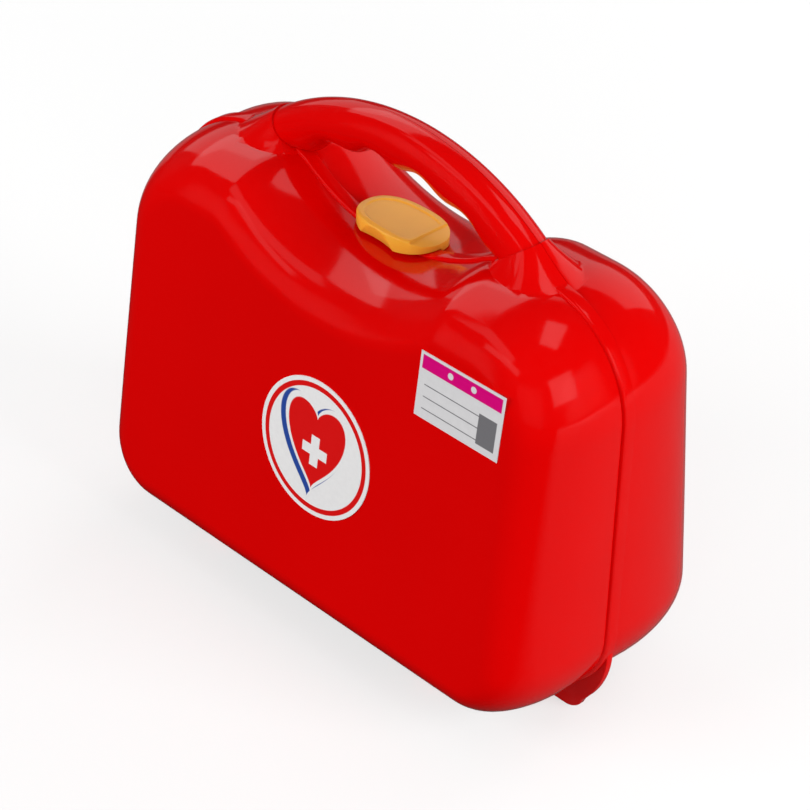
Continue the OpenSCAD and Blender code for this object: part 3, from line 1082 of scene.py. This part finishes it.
@dataclass
class Studio:
    """Pale floor, soft lights and the camera at the photo's angle. Sizes in metres."""

    target: Point = (0.0107, SEAM - 0.00375, 0.0976)
    distance: float = 1.0796
    azimuth: float = 42.58
    elevation: float = 34.51
    roll: float = 3.58
    focal_px: float = 2622.0
    frame_px: float = 810.0
    sensor: float = 36.0
    aim_h: float = 0.1

    def camera(self) -> None:
        """Sets up the camera."""
        back = away(self.azimuth, self.elevation)
        data = bpy.data.cameras.new("camera")
        data.sensor_width = self.sensor
        data.lens = self.focal_px / self.frame_px * self.sensor
        data.clip_start, data.clip_end = 0.05, 20.0
        cam = bpy.data.objects.new("camera", data)
        bpy.context.scene.collection.objects.link(cam)
        cam.location = Vector(self.target) + back * self.distance
        level = (-back).to_track_quat("-Z", "Y")
        roll = Euler((0.0, 0.0, math.radians(self.roll)))
        cam.rotation_mode = "QUATERNION"
        cam.rotation_quaternion = level @ roll.to_quaternion()
        bpy.context.scene.camera = cam

    def lamp(
        self, name: str, turn: float, rise: float, size: Flat, level: float, reach: Reach,
        far: float = 2.2,
    ) -> None:
        """Adds one soft rectangular lamp that looks at the case.

        Args:
            name: Name of the lamp.
            turn: Direction of the lamp round Z in degrees, 0 in front and 90 to the right.
            rise: Its elevation in degrees.
            size: Its width and height in metres.
            level: How bright its face is, where white paper in good light is 1.
            reach: Whether it lights the case or shows in its gloss.
            far: Its distance in metres.
        """
        back = away(turn, rise)
        data = bpy.data.lights.new(name, "AREA")
        data.shape = "RECTANGLE"
        data.size, data.size_y = size
        data.energy = level * math.pi * size[0] * size[1]
        obj = bpy.data.objects.new(name, data)
        bpy.context.scene.collection.objects.link(obj)
        obj.location = Vector((0.0, 0.0, self.aim_h)) + back * far
        obj.rotation_mode = "QUATERNION"
        obj.rotation_quaternion = (-back).to_track_quat("-Z", "Y")
        obj.visible_diffuse = reach is Reach.LIGHT
        obj.visible_glossy = reach is Reach.GLOSS

    def floor(self) -> None:
        """Adds the pale floor: dim in the gloss, with painted shade that is darker in front of the
        case and lighter behind it, and sheer, so that an open lid shows below it.
        """
        Bench.clear()
        bpy.ops.mesh.primitive_plane_add(size=8.0, location=(0.0, 0.0, -0.0002))
        obj = Bench.named("floor")
        paint = Paint("floor_pale")
        paint.set(Base_Color=(1.0, 1.0, 1.0, 1.0), Roughness=0.9, Specular_IOR_Level=0.0)
        paint.set(Emission_Color=(1.0, 1.0, 1.0, 1.0), Emission_Strength=0.3)
        x, y, _ = paint.axis()
        # Painted shade and light on the floor, seen only by gloss and bounce rays: dark in front
        # of the case in place of its shadow, lighter behind it in place of a lit floor.
        painted_floor_shade = paint.node(
            "ShaderNodeMapRange", {"interpolation_type": "SMOOTHSTEP"},
            {0: y + x * 0.25, 1: -0.05, 2: 0.02, 3: 0.02, 4: 0.18},
        )
        dim = paint.node("ShaderNodeBsdfDiffuse", {}, {"Color": painted_floor_shade})
        clear = paint.node("ShaderNodeBsdfTransparent", {}, {})
        white = Socket(paint, paint.shader.outputs[0])
        sheer = paint.node("ShaderNodeMixShader", {}, {0: 0.65, 1: white, 2: clear})
        camera_ray = paint.node("ShaderNodeLightPath", {}, {}, "Is Camera Ray")
        shadow_ray = paint.node("ShaderNodeLightPath", {}, {}, "Is Shadow Ray")
        seen = paint.node("ShaderNodeMixShader", {}, {0: camera_ray, 1: dim, 2: sheer})
        lit = paint.node("ShaderNodeMixShader", {}, {0: shadow_ray, 1: seen, 2: clear})
        paint.tree.links.new(lit.link, paint.output.inputs[0])
        obj.data.materials.append(paint.material)

    def world(self) -> None:
        """Sets a pale surrounding for the camera, a soft fill for the case and a dim gloss."""
        scene = bpy.context.scene
        world = bpy.data.worlds.new("studio")
        scene.world = world
        world.use_nodes = True
        tree = world.node_tree
        tree.nodes.clear()
        out = tree.nodes.new("ShaderNodeOutputWorld")
        path = tree.nodes.new("ShaderNodeLightPath")
        shades = {}
        for name, strength in (("fill", 0.42), ("gloss", 0.03), ("back", 1.0)):
            shades[name] = tree.nodes.new("ShaderNodeBackground")
            shades[name].inputs["Strength"].default_value = strength
        gloss = tree.nodes.new("ShaderNodeMixShader")
        mix = tree.nodes.new("ShaderNodeMixShader")
        tree.links.new(path.outputs["Is Glossy Ray"], gloss.inputs[0])
        tree.links.new(shades["fill"].outputs[0], gloss.inputs[1])
        tree.links.new(shades["gloss"].outputs[0], gloss.inputs[2])
        tree.links.new(path.outputs["Is Camera Ray"], mix.inputs[0])
        tree.links.new(gloss.outputs[0], mix.inputs[1])
        tree.links.new(shades["back"].outputs[0], mix.inputs[2])
        tree.links.new(mix.outputs[0], out.inputs[0])
        scene.view_settings.view_transform = "Standard"

    def build(self) -> None:
        """Builds the whole studio."""
        self.camera()
        self.floor()
        self.world()
        self.lamp("front", -30.0, 18.0, (1.4, 1.4), 5.6, Reach.LIGHT)
        self.lamp("key", 40.0, 18.0, (1.4, 1.4), 2.8, Reach.LIGHT)
        self.lamp("side", 102.0, 18.0, (1.4, 1.4), 7.2, Reach.LIGHT)
        self.lamp("back", 185.0, 22.0, (1.4, 1.4), 3.4, Reach.LIGHT)
        self.lamp("left", -95.0, 15.0, (1.2, 1.2), 2.0, Reach.LIGHT)
        self.lamp("left_wall", -102.0, 48.0, (1.8, 1.1), 1.0, Reach.GLOSS, 2.3)
        self.lamp("back_wall", -144.0, 34.0, (4.8, 2.0), 0.6, Reach.GLOSS, 2.6)
        self.lamp("ceiling", 125.0, 71.0, (0.9, 0.6), 1.1, Reach.GLOSS)
        self.lamp("right_box", 84.0, 30.0, (0.9, 0.9), 0.85, Reach.GLOSS)
        self.lamp("top_box", -22.0, 57.0, (1.6, 0.4), 0.45, Reach.GLOSS)
        self.lamp("front_box", -4.0, 47.0, (1.6, 0.3), 0.6, Reach.GLOSS)


# ---------------------------------------------------------------- the case


def dress(node: str, material: bpy.types.Material) -> None:
    """Gives a CAD node a better material on its slots."""
    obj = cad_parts[node]
    if not obj.material_slots:
        obj.data.materials.append(material)
    for slot in obj.material_slots:
        slot.material = material


FRONT_RIM = (
    (0.1, -1.2), (0.35, -1.4), (5.0, -1.4), (5.7, -1.15), (6.1, -0.8), (6.4, -0.35), (6.5, 0.0),
)
REAR_RIM = ((0.1, 0.5), (0.3, 0.15), (0.8, 0.0))


def main() -> None:
    """Builds the case and its studio."""
    logging.basicConfig(level=logging.INFO, format="%(message)s")
    outline = Outline()
    grip = Grip(outline)
    red = GlossPlastic("red_plastic", (0.66, 0.0, 0.0)).make()
    yellow = SoftPlastic("yellow_plastic", (0.80, 0.37, 0.035)).make()
    steel = TurnedSteel().make()
    front = FrontShell(
        name="front_half", node="front_shell", body="front", side=-1, bottom=58.5, top=43.5,
        outline=outline, grip=grip, rim=FRONT_RIM, foot_y=31.0,
    )
    rear = RearShell(
        name="rear_half", node="rear_shell", body="rear", side=1, bottom=68.0, top=45.5,
        outline=outline, grip=grip, rim=REAR_RIM, foot_y=42.0,
    )
    for piece, material in ((front, red), (rear, red), (SlideCatch(outline), yellow)):
        piece.build()
        piece.finish(material)
    dress("catch_plate", yellow)
    for node in ("catch_screw", "hinge_pin_left", "hinge_pin_right"):
        dress(node, steel)
    tilt = math.atan((front.bottom - front.top) / outline.height)
    for node, maker in (("front_sticker", HeartSticker), ("info_label", WriteOnLabel)):
        low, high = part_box(node)
        middle = (low + high) / 2 / MM
        dress(node, maker((middle.x, middle.z), tilt).make())
    Studio().build()


if __name__ == "__main__":
    main()
